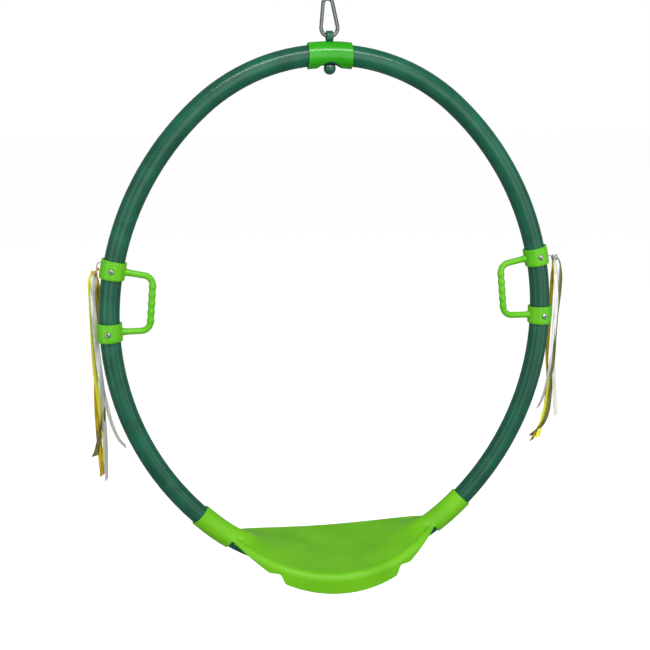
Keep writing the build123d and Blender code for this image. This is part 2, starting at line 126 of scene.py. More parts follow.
# ------------------------------------------------------------------ materials
def linear(code, alpha=1.0):
    """sRGB hex to linear: below 0.04045 divide by 12.92, else raise ((c + 0.055) / 1.055) to 2.4."""
    c = np.array([int(code[i:i + 2], 16) for i in (1, 3, 5)]) / 255.0
    c = np.where(c <= 0.04045, c / 12.92, ((c + 0.055) / 1.055) ** 2.4)
    return (*c.tolist(), alpha)


def add_node(tree, kind, inputs=None, links=None, **attributes):
    """Add one node, set its attributes and unlinked inputs, and link its inputs from sockets."""
    node = tree.nodes.new(kind)
    for name, value in attributes.items():
        setattr(node, name, value)
    for name, value in (inputs or {}).items():
        node.inputs[name].default_value = value
    for name, socket in (links or {}).items():
        tree.links.new(socket, node.inputs[name])
    return node


def new_material(name, **principled):
    """A material with its Principled shader's plain values set, and its tree and shader."""
    material = bpy.data.materials.new(name)
    material.use_nodes = True
    tree = material.node_tree
    shader = tree.nodes["Principled BSDF"]
    for key, value in principled.items():
        shader.inputs[key.replace("_", " ")].default_value = value
    return material, tree, shader


def powder_coated_steel():
    """Gloss powder coat on steel tube: clear gloss over a faint orange peel about 3 mm across."""
    code = settings().colours.tube
    material, tree, shader = new_material(
        "Gloss powder coated steel", Roughness=0.36, Specular_IOR_Level=0.25,
        Coat_Weight=0.22, Coat_Roughness=0.17)
    place = add_node(tree, "ShaderNodeTexCoord").outputs["Object"]
    cloud = add_node(
        tree, "ShaderNodeTexNoise", {"Scale": 26.0, "Detail": 3.0}, {"Vector": place})
    ramp = add_node(tree, "ShaderNodeValToRGB", links={"Fac": cloud.outputs["Fac"]})
    ramp.color_ramp.elements[0].position = 0.35
    ramp.color_ramp.elements[0].color = linear("#0d4935")
    ramp.color_ramp.elements[1].position = 0.7
    ramp.color_ramp.elements[1].color = linear(code)
    tree.links.new(ramp.outputs["Color"], shader.inputs["Base Color"])
    peel = add_node(
        tree, "ShaderNodeTexNoise", {"Scale": 330.0, "Detail": 2.0}, {"Vector": place})
    bump = add_node(
        tree, "ShaderNodeBump", {"Strength": 0.05, "Distance": 0.0003},
        {"Height": peel.outputs["Fac"]})
    tree.links.new(bump.outputs["Normal"], shader.inputs["Normal"])
    return material


def moulded_plastic(name, code, shade, roughness, grain_mm, grain_strength, coat=0.0):
    """Moulded lime plastic: one colour right through, slightly cloudy, with the mould's grain."""
    material, tree, shader = new_material(
        name, Roughness=roughness, Coat_Weight=coat, Coat_Roughness=0.15,
        Specular_IOR_Level=0.3)
    place = add_node(tree, "ShaderNodeTexCoord").outputs["Object"]
    cloud = add_node(
        tree, "ShaderNodeTexNoise", {"Scale": 14.0, "Detail": 4.0}, {"Vector": place})
    ramp = add_node(tree, "ShaderNodeValToRGB", links={"Fac": cloud.outputs["Fac"]})
    ramp.color_ramp.elements[0].position = 0.3
    ramp.color_ramp.elements[0].color = linear(shade)
    ramp.color_ramp.elements[1].position = 0.7
    ramp.color_ramp.elements[1].color = linear(code)
    tree.links.new(ramp.outputs["Color"], shader.inputs["Base Color"])
    grain = add_node(
        tree, "ShaderNodeTexNoise", {"Scale": 1.0 / (grain_mm * MM), "Detail": 2.0},
        {"Vector": place})
    bump = add_node(
        tree, "ShaderNodeBump", {"Strength": grain_strength, "Distance": 0.0003},
        {"Height": grain.outputs["Fac"]})
    tree.links.new(bump.outputs["Normal"], shader.inputs["Normal"])
    return material


def zinc_plated_steel(name="Zinc plated steel", code=None, roughness=0.32):
    """Bright zinc or nickel on steel: grey metal with fine cloudy spangle about 2 mm across."""
    code = code or settings().colours.steel
    material, tree, shader = new_material(name, Metallic=1.0, Roughness=roughness)
    place = add_node(tree, "ShaderNodeTexCoord").outputs["Object"]
    cloud = add_node(
        tree, "ShaderNodeTexNoise", {"Scale": 500.0, "Detail": 3.0}, {"Vector": place})
    ramp = add_node(tree, "ShaderNodeValToRGB", links={"Fac": cloud.outputs["Fac"]})
    ramp.color_ramp.elements[0].position = 0.3
    ramp.color_ramp.elements[0].color = linear("#667068")
    ramp.color_ramp.elements[1].position = 0.7
    ramp.color_ramp.elements[1].color = linear(code)
    tree.links.new(ramp.outputs["Color"], shader.inputs["Base Color"])
    tree.links.new(
        add_node(tree, "ShaderNodeMapRange",
                 {"To Min": roughness - 0.08, "To Max": roughness + 0.1},
                 {"Value": cloud.outputs["Fac"]}).outputs["Result"],
        shader.inputs["Roughness"])
    return material


# ------------------------------------------------------------------ stage
class SWING_OT_stage(bpy.types.Operator):
    """Make the pale floor, the soft lights and the camera."""
    bl_idname = "swing.stage"
    bl_label = "Stage"

    def execute(self, context):
        context.scene.view_settings.view_transform = "Standard"
        world = bpy.data.worlds.new("White studio")
        context.scene.world = world
        world.use_nodes = True
        # the wall behind is white, and the room's own light is dimmer than it looks
        tree = world.node_tree
        white = (1.0, 1.0, 1.0, 1.0)
        wall = add_node(tree, "ShaderNodeBackground", {"Color": white, "Strength": 1.0})
        ray = add_node(tree, "ShaderNodeLightPath")
        level = add_node(
            tree, "ShaderNodeMapRange", {"To Min": ROOM_LIGHT, "To Max": ROOM_GLOSS},
            {"Value": ray.outputs["Is Glossy Ray"]})
        room = add_node(tree, "ShaderNodeBackground", {"Color": white},
                        {"Strength": level.outputs["Result"]})
        mix = add_node(tree, "ShaderNodeMixShader", links={"Fac": ray.outputs["Is Camera Ray"]})
        tree.links.new(room.outputs[0], mix.inputs[1])
        tree.links.new(wall.outputs[0], mix.inputs[2])
        tree.links.new(mix.outputs[0], tree.nodes["World Output"].inputs["Surface"])
        # floor well below the hanging swing
        reach = 40.0
        ys, xs = np.meshgrid(np.array([-reach, reach]), np.array([-reach, reach]))
        grid = np.stack([xs, ys, np.full_like(xs, FLOOR_Z)], axis=-1)
        floor = grid_piece("floor", grid)
        material, tree, shader = new_material(
            "Matt white floor paint", Base_Color=linear("#f4f4f4"), Roughness=0.9,
            Emission_Color=white, Emission_Strength=0.62)
        floor.data.materials.append(material)
        # the floor is lit for the eye alone: it neither mirrors in the gloss nor lights the swing
        floor.visible_glossy = False
        floor.visible_diffuse = False
        # (name, place, size, power): a strip at each side, a fill in front, a strip overhead
        for name, place, size, power in (
                ("left", (-1.25, -0.75, HOOP_Z + 0.1), (0.6, 1.5), 5.0),
                ("right", (1.3, -0.8, HOOP_Z + 0.1), (0.6, 1.5), 5.0),
                ("front", (0.25, -2.3, HOOP_Z + 0.35), (1.8, 1.8), 22.0),
                ("top", (0.0, -1.1, 0.9), (1.6, 0.12), 24.0)):
            light = bpy.data.lights.new(name, "AREA")
            light.shape = "RECTANGLE"
            light.size, light.size_y = size
            light.energy = power
            lamp = bpy.data.objects.new(name, light)
            context.scene.collection.objects.link(lamp)
            lamp.location = place
            aim = Vector((0.0, 0.0, HOOP_Z)) - Vector(place)
            lamp.rotation_euler = aim.to_track_quat("-Z", "Y").to_euler()
        self.camera(context)
        return {"FINISHED"}

    def camera(self, context):
        """Camera 1.9 m from the hoop's centre, a little to the left and above it."""
        azimuth, elevation, roll = np.radians([-9.29, 12.11, -0.55])
        distance, across, rise = 1.9, -0.0129, -0.0079
        centre = np.array([0.0, 0.0, HOOP_Z])
        back = np.array([
            np.sin(azimuth) * np.cos(elevation), -np.cos(azimuth) * np.cos(elevation),
            np.sin(elevation)])
        right = np.array([np.cos(azimuth), np.sin(azimuth), 0.0])
        up = np.cross(right, -back)
        place = centre + back * distance
        ahead = centre + right * across + up * rise - place
        ahead /= np.linalg.norm(ahead)
        level = np.cross(ahead, [0.0, 0.0, 1.0])
        level /= np.linalg.norm(level)
        upright = np.cross(level, ahead)
        axis_x = np.cos(roll) * level + np.sin(roll) * upright
        axis_y = np.cos(roll) * upright - np.sin(roll) * level
        camera = bpy.data.cameras.new("camera")
        camera.lens, camera.sensor_width = 55.05, 36.0
        camera.clip_end = 200.0
        eye = bpy.data.objects.new("camera", camera)
        context.scene.collection.objects.link(eye)
        eye.matrix_world = Matrix((
            (axis_x[0], axis_y[0], -ahead[0], place[0]),
            (axis_x[1], axis_y[1], -ahead[1], place[1]),
            (axis_x[2], axis_y[2], -ahead[2], place[2]),
            (0.0, 0.0, 0.0, 1.0)))
        context.scene.camera = eye


# ------------------------------------------------------------------ surfaces
def grid_piece(name, grid, wrap_rows=False, wrap_columns=False, uv=None):
    """Mesh from a (rows, columns, 3) grid of points: four neighbours make one face.

    wrap_rows joins the last row to the first, and wrap_columns the last column to the first."""
    rows, columns = grid.shape[:2]
    index = np.arange(rows * columns).reshape(rows, columns)
    down = np.roll(index, -1, axis=0) if wrap_rows else index[1:]
    top = index if wrap_rows else index[:-1]
    if wrap_columns:
        quads = np.stack([top, down, np.roll(down, -1, 1), np.roll(top, -1, 1)], axis=-1)
    else:
        quads = np.stack([top[:, :-1], down[:, :-1], down[:, 1:], top[:, 1:]], axis=-1)
    quads = quads.reshape(-1, 4)
    mesh = bpy.data.meshes.new(name)
    mesh.from_pydata(grid.reshape(-1, 3), [], quads)
    mesh.polygons.foreach_set("use_smooth", np.ones(len(quads), bool))
    mesh.update()
    piece = bpy.data.objects.new(name, mesh)
    bpy.context.scene.collection.objects.link(piece)
    return piece


def centreline(angle):
    """Points and outward normals of the hoop's centreline, by the normal's angle from +X.

    Where |sin| is above the meeting angle's, the point is end_radius from (0, +-rise); elsewhere
    it is side_radius from (-+reach, 0). Both centres are measured from the hoop's centre."""
    sizes = settings().sizes
    rise = sizes.half_height - sizes.end_radius
    side = (sizes.half_width**2 + rise**2 - sizes.end_radius**2) / (
        2.0 * (sizes.half_width - sizes.end_radius))
    reach = side - sizes.half_width
    sine, cosine = np.sin(angle), np.cos(angle)
    on_end = np.abs(sine) > np.sin(np.arctan2(rise, reach))
    radius = np.where(on_end, sizes.end_radius, side)
    x = radius * cosine - np.where(on_end, 0.0, np.sign(cosine) * reach)
    z = radius * sine + np.where(on_end, np.sign(sine) * rise, 0.0)
    points = np.stack([x, np.zeros_like(x), z + HOOP_Z], axis=-1)
    return points, np.stack([cosine, np.zeros_like(x), sine], axis=-1)


def angle_at(distance, side):
    """Normal's angle at a distance up the centreline from the widest point: distance over the
    side arc's radius, then over the end arc's radius; the left side is pi minus the right's."""
    sizes = settings().sizes
    rise = sizes.half_height - sizes.end_radius
    radius = (sizes.half_width**2 + rise**2 - sizes.end_radius**2) / (
        2.0 * (sizes.half_width - sizes.end_radius))
    meet = np.arctan2(rise, radius - sizes.half_width)
    distance = np.asarray(distance, float)
    past = np.maximum(np.abs(distance) - meet * radius, 0.0)
    angle = np.sign(distance) * (np.minimum(np.abs(distance) / radius, meet) + past / sizes.end_radius)
    return angle if side > 0 else np.pi - angle


def unit(vectors):
    return vectors / np.linalg.norm(vectors, axis=-1, keepdims=True)


def capped(path, grid):
    """Close a tube's grid with its path's first and last points."""
    ends = [np.repeat(path[place, None], grid.shape[1], axis=1) for place in ([0], [-1])]
    return np.concatenate([ends[0], grid, ends[1]])


def smooth_step(value, low, high):
    """0 below low, 1 above high, and 3t^2 - 2t^3 between."""
    t = np.clip((value - low) / (high - low), 0.0, 1.0)
    return t * t * (3.0 - 2.0 * t)


def band(name, side, profile, columns=96):
    """Ring of a closed profile round the tube: each (distance, radius) pair is swept full circle
    about the centreline, in the plane square to it."""
    distance, radius = np.asarray(profile, float).T
    points, normals = centreline(angle_at(distance, side))
    turn = np.linspace(0.0, 2.0 * np.pi, columns, endpoint=False)
    across = np.cos(turn)[None, :, None] * normals[:, None, :]
    across = across + np.sin(turn)[None, :, None] * np.array([0.0, 1.0, 0.0])
    grid = points[:, None, :] + radius[:, None, None] * across
    if side < 0:
        grid = grid[:, ::-1]
    return grid_piece(name, grid, wrap_rows=True, wrap_columns=True)


def quarter(centre, reach_d, reach_r, start, count=6):
    """Quarter ellipse of (distance, radius) points, from start degrees on, counting up."""
    turn = np.radians(np.linspace(start, start + 90.0, count))
    return np.stack([centre[0] + reach_d * np.cos(turn), centre[1] + reach_r * np.sin(turn)], axis=-1)


def collar_profile(low, high, outer, inner, low_reach, low_round, high_round):
    """Closed section of a collar from low to high: rounded outer corners, plain bore."""
    steps = np.linspace(low + low_reach, high - high_round, 24)[1:-1, None]
    return np.concatenate([
        [[low + 0.0004, inner], [low, inner + 0.0004]],
        quarter((low + low_reach, outer - low_round), -low_reach, low_round, 0.0),
        np.concatenate([steps, np.full_like(steps, outer)], axis=1),
        quarter((high - high_round, outer - high_round), high_round, high_round, 0.0)[::-1],
        [[high, inner + 0.0004], [high - 0.0004, inner]],
        np.stack([np.linspace(high, low, 20)[1:-1], np.full(18, inner)], axis=-1)])


def bar(name, path, radius, columns=24):
    """Round bar: circles of the given radii, square to the path, turned with it in its plane.

    The path is an (n, 3) array; its plane's normal is +Y, and both ends are closed to a point."""
    path = np.asarray(path, float)
    along = unit(np.gradient(path, axis=0))
    level = np.tile([0.0, 1.0, 0.0], (len(path), 1))
    square = unit(np.cross(along, level))
    level = np.cross(square, along)
    turn = np.linspace(0.0, 2.0 * np.pi, columns, endpoint=False)
    ring = np.cos(turn)[None, :, None] * square[:, None, :]
    ring = ring + np.sin(turn)[None, :, None] * level[:, None, :]
    grid = path[:, None, :] + np.broadcast_to(radius, len(path))[:, None, None] * ring
    return grid_piece(name, capped(path, grid), wrap_columns=True)


def rounded_path(corners, radius, step=0.001):
    """Points along straight runs with a circular arc of the given radius at each inner corner."""
    corners = np.asarray(corners, float)
    pieces = [corners[:1]]
    for before, corner, after in zip(corners[:-2], corners[1:-1], corners[2:]):
        back, ahead = unit(before - corner), unit(after - corner)
        half = 0.5 * np.arccos(np.dot(back, ahead))
        middle = corner + unit(back + ahead) * radius / np.sin(half)
        start = corner + back * radius / np.tan(half)
        end = corner + ahead * radius / np.tan(half)
        arc = np.linspace(0.0, np.pi - 2.0 * half, 16)[:, None]
        first = (start - middle) / radius
        second = unit((end - middle) - first * np.dot(end - middle, first))
        last = pieces[-1][-1]
        run = np.linspace(last, start, max(int(np.linalg.norm(start - last) / step), 3))
        pieces += [run[1:-1], middle + radius * (np.cos(arc) * first + np.sin(arc) * second)]
    run = np.linspace(pieces[-1][-1], corners[-1], 40)
    return np.concatenate(pieces + [run[1:]])


def join(name, pieces):
    """One mesh from several; each keeps its own closed surface."""
    bpy.ops.object.select_all(action="DESELECT")
    for piece in pieces:
        piece.select_set(True)
    bpy.context.view_layer.objects.active = pieces[0]
    if len(pieces) > 1:
        bpy.ops.object.join()
    pieces[0].name = name
    return pieces[0]


def outward(piece):
    """Turn a closed mesh's faces outwards."""
    mesh = bmesh.new()
    mesh.from_mesh(piece.data)
    bmesh.ops.remove_doubles(mesh, verts=mesh.verts, dist=1e-7)
    bmesh.ops.recalc_face_normals(mesh, faces=mesh.faces)
    mesh.to_mesh(piece.data)
    mesh.free()
    return piece


# ------------------------------------------------------------------ seat
# lower edge, measured from the end arc's centre: the lobe's arc is LOBE_RADIUS about a point
# LOBE_CENTRE below, the wing is level at WING_DROP, and its slope has x WING_X + z WING_Z = WING_SUM
LOBE_CENTRE, LOBE_RADIUS = 0.0349, 0.3346
WING_DROP, WING_X, WING_Z, WING_SUM = 0.3325, 0.0335, 0.051, 21.5885 * MM
NOTCH = np.radians([16.9, 20.0])         # from the lobe to the wing
SLEEVE_ENDS = -0.495, -0.4155            # up the centreline from the widest point, as are stations


def seat_section(turn):
    """Section of the seat by angle from the bottom of the hoop: half depth, top height, lower
    edge height, all measured from the tube's centreline.

    Top: the circle of the saddle, seen from the end arc's centre. Half depth: the plan outline's
    arc at that place. Lower edge: a shallow round lobe in the middle, then a flat wing edge,
    then a straight line up to the sleeve."""
    sizes = settings().sizes
    sine, cosine = np.sin(np.abs(turn)), np.cos(turn)
    rise = sizes.half_height - sizes.end_radius
    lift = sizes.seat_saddle - (sizes.seat_drop - rise)
    top_reach = -lift * cosine + np.sqrt(sizes.seat_saddle**2 - (lift * sine) ** 2)
    depth = np.sqrt(sizes.seat_outline**2 - (top_reach * sine) ** 2)
    depth = depth - (sizes.seat_outline - sizes.seat_depth)
    lobe = LOBE_CENTRE * cosine + np.sqrt(LOBE_RADIUS**2 - (LOBE_CENTRE * sine) ** 2)
    wing = np.minimum(WING_DROP / cosine, WING_SUM / (WING_X * sine + WING_Z * cosine))
    notch = smooth_step(np.abs(turn), *NOTCH)
    low_reach = lobe * (1.0 - notch) + wing * notch
    return depth, sizes.end_radius - top_reach, sizes.end_radius - low_reach


def seat_half(turn, rim_radius, lift, rows=(26, 12, 10)):
    """Distances across and heights of one half of the seat's section: top, rolled rim, skirt.

    The top is T + (S - T)(1 - u^2)^2 for u = across / half depth, where T is the saddle's height
    and S the sleeve's radius, so it rises over the tube; the lift grows with u^2."""
    sizes = settings().sizes
    depth, top, low = seat_section(turn)
    rim = np.minimum(rim_radius, np.minimum(top - low - 0.0015, depth * 0.8))
    flat = np.linspace(0.0, 1.0, rows[0])[:, None] * (depth - rim)
    arc = np.linspace(0.0, 0.5 * np.pi, rows[1])[1:, None]
    drop = np.linspace(0.0, 1.0, rows[2])[1:, None]
    draft = 0.0015
    y = np.concatenate([flat, depth - rim + rim * np.sin(arc), depth - draft * drop])
    inner = depth - rim
    crown = (1.0 - (flat / inner) ** 2) ** 2 * (sizes.sleeve_radius - top)
    raised = lift * (flat / inner) ** 2
    h = np.concatenate([
        top + crown + raised, top + lift - rim + rim * np.cos(arc),
        top + lift - rim - drop * (top + lift - rim - low)])
    return y, h


def seat_grid(columns=160, reach=35.6):
    """Grid of the seat's skin swept along the end arc, from the front edge over to the back.

    Near the sleeves each section point is pushed away from the tube's centreline to the smooth
    maximum of its own distance and the sleeve's radius: (a + b + sqrt((a - b)^2 + k^2)) / 2."""
    sizes = settings().sizes
    turn = np.radians(np.linspace(-reach, reach, columns))
    front_y, front_h = seat_half(turn, sizes.seat_rim, 0.0)
    back_y, back_h = seat_half(turn, sizes.seat_back_rim, sizes.seat_back_lift)
    y = np.concatenate([-front_y[::-1], back_y[1:]])
    h = np.concatenate([front_h[::-1], back_h[1:]])
    away = np.hypot(y, h)
    bend = np.degrees(np.abs(turn))
    near = smooth_step(bend, 26.0, 33.0)
    sleeve = sizes.sleeve_radius * (0.75 + 0.25 * near)
    blur = 0.007 - 0.0065 * smooth_step(bend, 30.0, 34.5)
    share = 0.5 * (away + sleeve + np.sqrt((away - sleeve) ** 2 + blur**2)) / away
    share = 1.0 + (share - 1.0) * smooth_step(bend, 20.0, 27.0)
    y, h = y * share, h * share
    points, normals = centreline(turn - 0.5 * np.pi)
    return points[None] - h[..., None] * normals[None] + y[..., None] * np.array([0.0, 1.0, 0.0])


def seat_rib(turn, side, count=14):
    """Flat web under the seat on one side of the tube, in the plane square to the tube: from
    beside the tube to the skirt, and from the lower edge up to the top's underside."""
    sizes = settings().sizes
    turns = np.full(count, turn)
    depth, top, low = seat_section(turns)
    across = np.linspace(sizes.bore_radius, depth[0] - 0.002, count)
    crown = (1.0 - (across / depth) ** 2) ** 2 * (sizes.sleeve_radius - top)
    roof = top + crown - 0.0025 - 0.004 * (across / depth) ** 8
    rows = np.linspace(0.0, 1.0, 6)[:, None]
    h = (low + 0.001) * (1.0 - rows) + roof * rows
    points, normals = centreline(np.array([turn - 0.5 * np.pi]))
    grid = points[0] - h[..., None] * normals[0]
    grid = grid + (side * across)[None, :, None] * np.array([0.0, 1.0, 0.0])
    rib = grid_piece("seat_rib", grid)
    web = rib.modifiers.new("web", "SOLIDIFY")
    web.thickness, web.offset = 0.0035, 0.0
    return rib


def seat_cradle(rows=25, columns=120, reach=34.0):
    """Half pipe between the tube and the seat's top: an arc of 200 degrees about the centreline."""
    sizes = settings().sizes
    turn = np.radians(np.linspace(-reach, reach, columns))
    points, normals = centreline(turn - 0.5 * np.pi)
    around = np.radians(np.linspace(-100.0, 100.0, rows))[:, None, None]
    grid = points[None] + sizes.bore_radius * (
        -np.cos(around) * normals[None] + np.sin(around) * np.array([0.0, 1.0, 0.0]))
    cradle = grid_piece("seat_cradle", grid[:, ::-1])
    wall = cradle.modifiers.new("wall", "SOLIDIFY")
    wall.thickness, wall.offset = 0.002, 1.0
    return cradle


class SWING_OT_seat(bpy.types.Operator):
    """Make the moulded seat: skin with rolled rim and skirt, sleeves, ribs and tube cradle."""
    bl_idname = "swing.seat"
    bl_label = "Seat"

    def execute(self, context):
        sizes = settings().sizes
        skin = grid_piece("seat_skin", seat_grid()[:, ::-1])
        wall = skin.modifiers.new("wall", "SOLIDIFY")
        wall.thickness, wall.offset = sizes.seat_wall, -1.0
        edge = skin.modifiers.new("edge", "BEVEL")
        edge.width, edge.segments, edge.limit_method = 0.0008, 2, "ANGLE"
        skin.data.materials.append(bpy.data.materials["Rotomoulded polyethylene"])
        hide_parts("seat")
        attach(skin, "hoop")
        for label, side in SIDES.items():
            profile = collar_profile(
                *SLEEVE_ENDS, sizes.sleeve_radius, sizes.bore_radius, 0.0012, 0.0012, 0.0012)
            sleeve = outward(band(f"seat_sleeve_{label}", side, profile))
            sleeve.data.materials.append(bpy.data.materials["Rotomoulded polyethylene"])
            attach(sleeve, "hoop")
        below = [seat_cradle()]
        for bend in (-13.8, -5.8, 5.8, 13.8):
            below += [seat_rib(np.radians(bend), side) for side in (-1.0, 1.0)]
        for number, piece in enumerate(below):
            piece.name = "seat_cradle" if number == 0 else f"seat_rib_{number}"
            piece.data.materials.append(bpy.data.materials["Rotomoulded polyethylene"])
            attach(piece, "hoop")
        return {"FINISHED"}


# ------------------------------------------------------------------ handles
LUG_ANGLE = np.radians(55.0)             # round the collar, from straight outwards to the back
LUG_REACH, LUG_STATION = 0.0285, 0.1175
COLLARS = [0.113, -0.004]                # stations of the collars' middles
ARM_START, GRIP_REACH = 0.0215, 0.0735   # inside the tube's centreline
GRIP_SWELL, BUMP_HEIGHT = 0.0004, 0.00055


def lug_hole(side):
    """Centre of the hole that the tassel's ring goes through."""
    point = centreline(angle_at([LUG_STATION], side))[0][0]
    return point + LUG_REACH * np.array([side * np.cos(LUG_ANGLE), np.sin(LUG_ANGLE), 0.0])


def revolve(name, centre, axis, profile, columns=40):
    """Closed ring: a closed (radius, height) profile turned full circle about an axis."""
    axis = unit(np.asarray(axis, float))
    level = unit(np.cross(axis, [0.3, 0.5, 0.81]))      # any direction off the axis will do
    turn = np.linspace(0.0, 2.0 * np.pi, columns, endpoint=False)[None, :, None]
    around = np.cos(turn) * level + np.sin(turn) * np.cross(axis, level)
    radius, height = np.asarray(profile, float).T
    grid = centre + radius[:, None, None] * around + height[:, None, None] * axis
    return outward(grid_piece(name, grid, wrap_rows=True, wrap_columns=True))


def lug(side):
    """Eye beside the upper collar: a flat ring round the hole, and a bar back to the collar."""
    hole = lug_hole(side)
    out = np.array([side * np.cos(LUG_ANGLE), np.sin(LUG_ANGLE), 0.0])
    profile = MM * np.array([
        [1.9, -1.1], [2.2, -1.5], [3.1, -1.5], [3.5, -1.1], [3.5, 1.1], [3.1, 1.5], [2.2, 1.5],
        [1.9, 1.1]])
    ring = revolve("lug", hole, [0.0, 0.0, 1.0], profile)
    back = np.linspace(0.0088, 0.0021, 12)[:, None]
    path = hole - back * out
    turn = np.linspace(0.0, 2.0 * np.pi, 24, endpoint=False)
    # squarish section, 6.6 mm across and 3 mm high: the square root of a circle's cosine and sine
    flat = np.sign(np.cos(turn)) * np.abs(np.cos(turn)) ** 0.5 * 0.0033
    high = np.sign(np.sin(turn)) * np.abs(np.sin(turn)) ** 0.5 * 0.0015
    level = np.array([-out[1], out[0], 0.0])
    section = flat[:, None] * level + high[:, None] * np.array([0.0, 0.0, 1.0])
    grid = path[:, None, :] + section[None]
    stem = outward(grid_piece("stem", capped(path, grid), wrap_columns=True))
    return [ring, stem]


class SWING_OT_handles(bpy.types.Operator):
    """Make each handle: two collars, arms that flare into them and a grip with finger bumps."""
    bl_idname = "swing.handles"
    bl_label = "Handles"

    def execute(self, context):
        sizes = settings().sizes
        for label, side in SIDES.items():
            pieces = []
            for middle in COLLARS:
                profile = collar_profile(
                    middle - 0.5 * sizes.collar_length, middle + 0.5 * sizes.collar_length,
                    sizes.collar_radius, sizes.bore_radius, 0.0055, 0.0022, 0.0007)
                pieces.append(outward(band("collar", side, profile)))
            places, normals = centreline(angle_at(COLLARS, side))
            corners = [
                places[0] - ARM_START * normals[0], places[0] - GRIP_REACH * normals[0],
                places[1] - GRIP_REACH * normals[1], places[1] - ARM_START * normals[1]]
            path = rounded_path(corners, 0.018)
            run = np.concatenate([[0.0], np.cumsum(np.linalg.norm(np.diff(path, axis=0), axis=1))])
            flare = 0.0022 * (np.exp(-run / 0.004) + np.exp(-(run[-1] - run) / 0.004))
            from_middle = run - 0.5 * run[-1]
            on_grip = 1.0 - smooth_step(np.abs(from_middle), 0.032, 0.042)
            bumps = BUMP_HEIGHT * np.cos(2.0 * np.pi * from_middle / sizes.bump_pitch) * on_grip
            radius = sizes.arm_radius + flare + on_grip * GRIP_SWELL + bumps
            pieces.append(outward(bar("arm", path, radius)))
            pieces += lug(side)
            handle = join(f"handle_{label}", pieces)
            handle.data.materials.append(bpy.data.materials["Injection moulded polypropylene"])
            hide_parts(f"{label}_handle")
            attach(handle, "hoop")
        return {"FINISHED"}


# ------------------------------------------------------------------ screws
SCREW_TURN = np.radians(5.0)             # handle screws point this far outwards from the front
SEAT_SCREW = -0.452                      # station
HEAD_SINK = 0.0002                       # of a head's underside into the moulding


def screw_head(centre, axis, rows=34, columns=96):
    """Pan head with a cross recess, from its underside's centre out along the axis.

    Height is 3.4 mm times (1 - (r / R)^4)^(1/2), less 1.6 mm where the smaller of |x| and |y| is
    under 0.6 mm and r is under 3 mm."""
    reach = 0.0053
    level = unit(np.cross(axis, [0.0, 0.0, 1.0]))
    upright = np.cross(level, axis)
    radius = reach * np.sin(np.linspace(0.0, 0.5 * np.pi, rows))[:, None]
    turn = np.linspace(0.0, 2.0 * np.pi, columns, endpoint=False)[None, :]
    x, y = radius * np.cos(turn), radius * np.sin(turn)
    height = 0.0034 * np.sqrt(np.maximum(1.0 - (radius / reach) ** 4, 0.0)) + 0.0 * turn
    cut = (1.0 - smooth_step(np.minimum(np.abs(x), np.abs(y)), 0.0005, 0.0008))
    cut = cut * (1.0 - smooth_step(radius, 0.0027, 0.0032))
    height = height - 0.0016 * cut
    grid = centre + x[..., None] * level + y[..., None] * upright + height[..., None] * axis
    under = np.repeat(centre[None, None], columns, axis=1)
    return outward(grid_piece("screw_head", np.concatenate([grid, under]), wrap_columns=True))


class SWING_OT_screws(bpy.types.Operator):
    """Make the pan head screws: two at each handle's front, one at the back of each seat sleeve."""
    bl_idname = "swing.screws"
    bl_label = "Screws"

    def execute(self, context):
        sizes = settings().sizes
        rear = np.array([0.0, 1.0, 0.0])
        groups = {"seat_screws": []}
        for label, side in SIDES.items():
            front = np.array([side * np.sin(SCREW_TURN), -np.cos(SCREW_TURN), 0.0])
            points = centreline(angle_at([*COLLARS, SEAT_SCREW], side))[0]
            groups[f"{label}_handle_screws"] = [
                screw_head(point + (sizes.collar_radius - HEAD_SINK) * front, front)
                for point in points[:2]]
            groups["seat_screws"].append(
                screw_head(points[2] + (sizes.sleeve_radius - HEAD_SINK) * rear, rear))
        for node, heads in groups.items():
            screws = join(f"heads_of_{node}", heads)
            screws.data.materials.append(bpy.data.materials["Zinc plated screw"])
            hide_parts(node)
            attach(screws, "hoop")
        return {"FINISHED"}


# ------------------------------------------------------------------ tassels
TIE_ANGLE = np.radians(38.0)             # below level, round the ring
RING_TURN = np.radians(20.0)             # the ring's plane stands this far round to the front
NECK_X = {"left": 0.4395, "right": 0.4505}
NECK_Y, NECK_RISE = 0.0205, 0.1045       # the knot's middle, its height above the hoop's centre
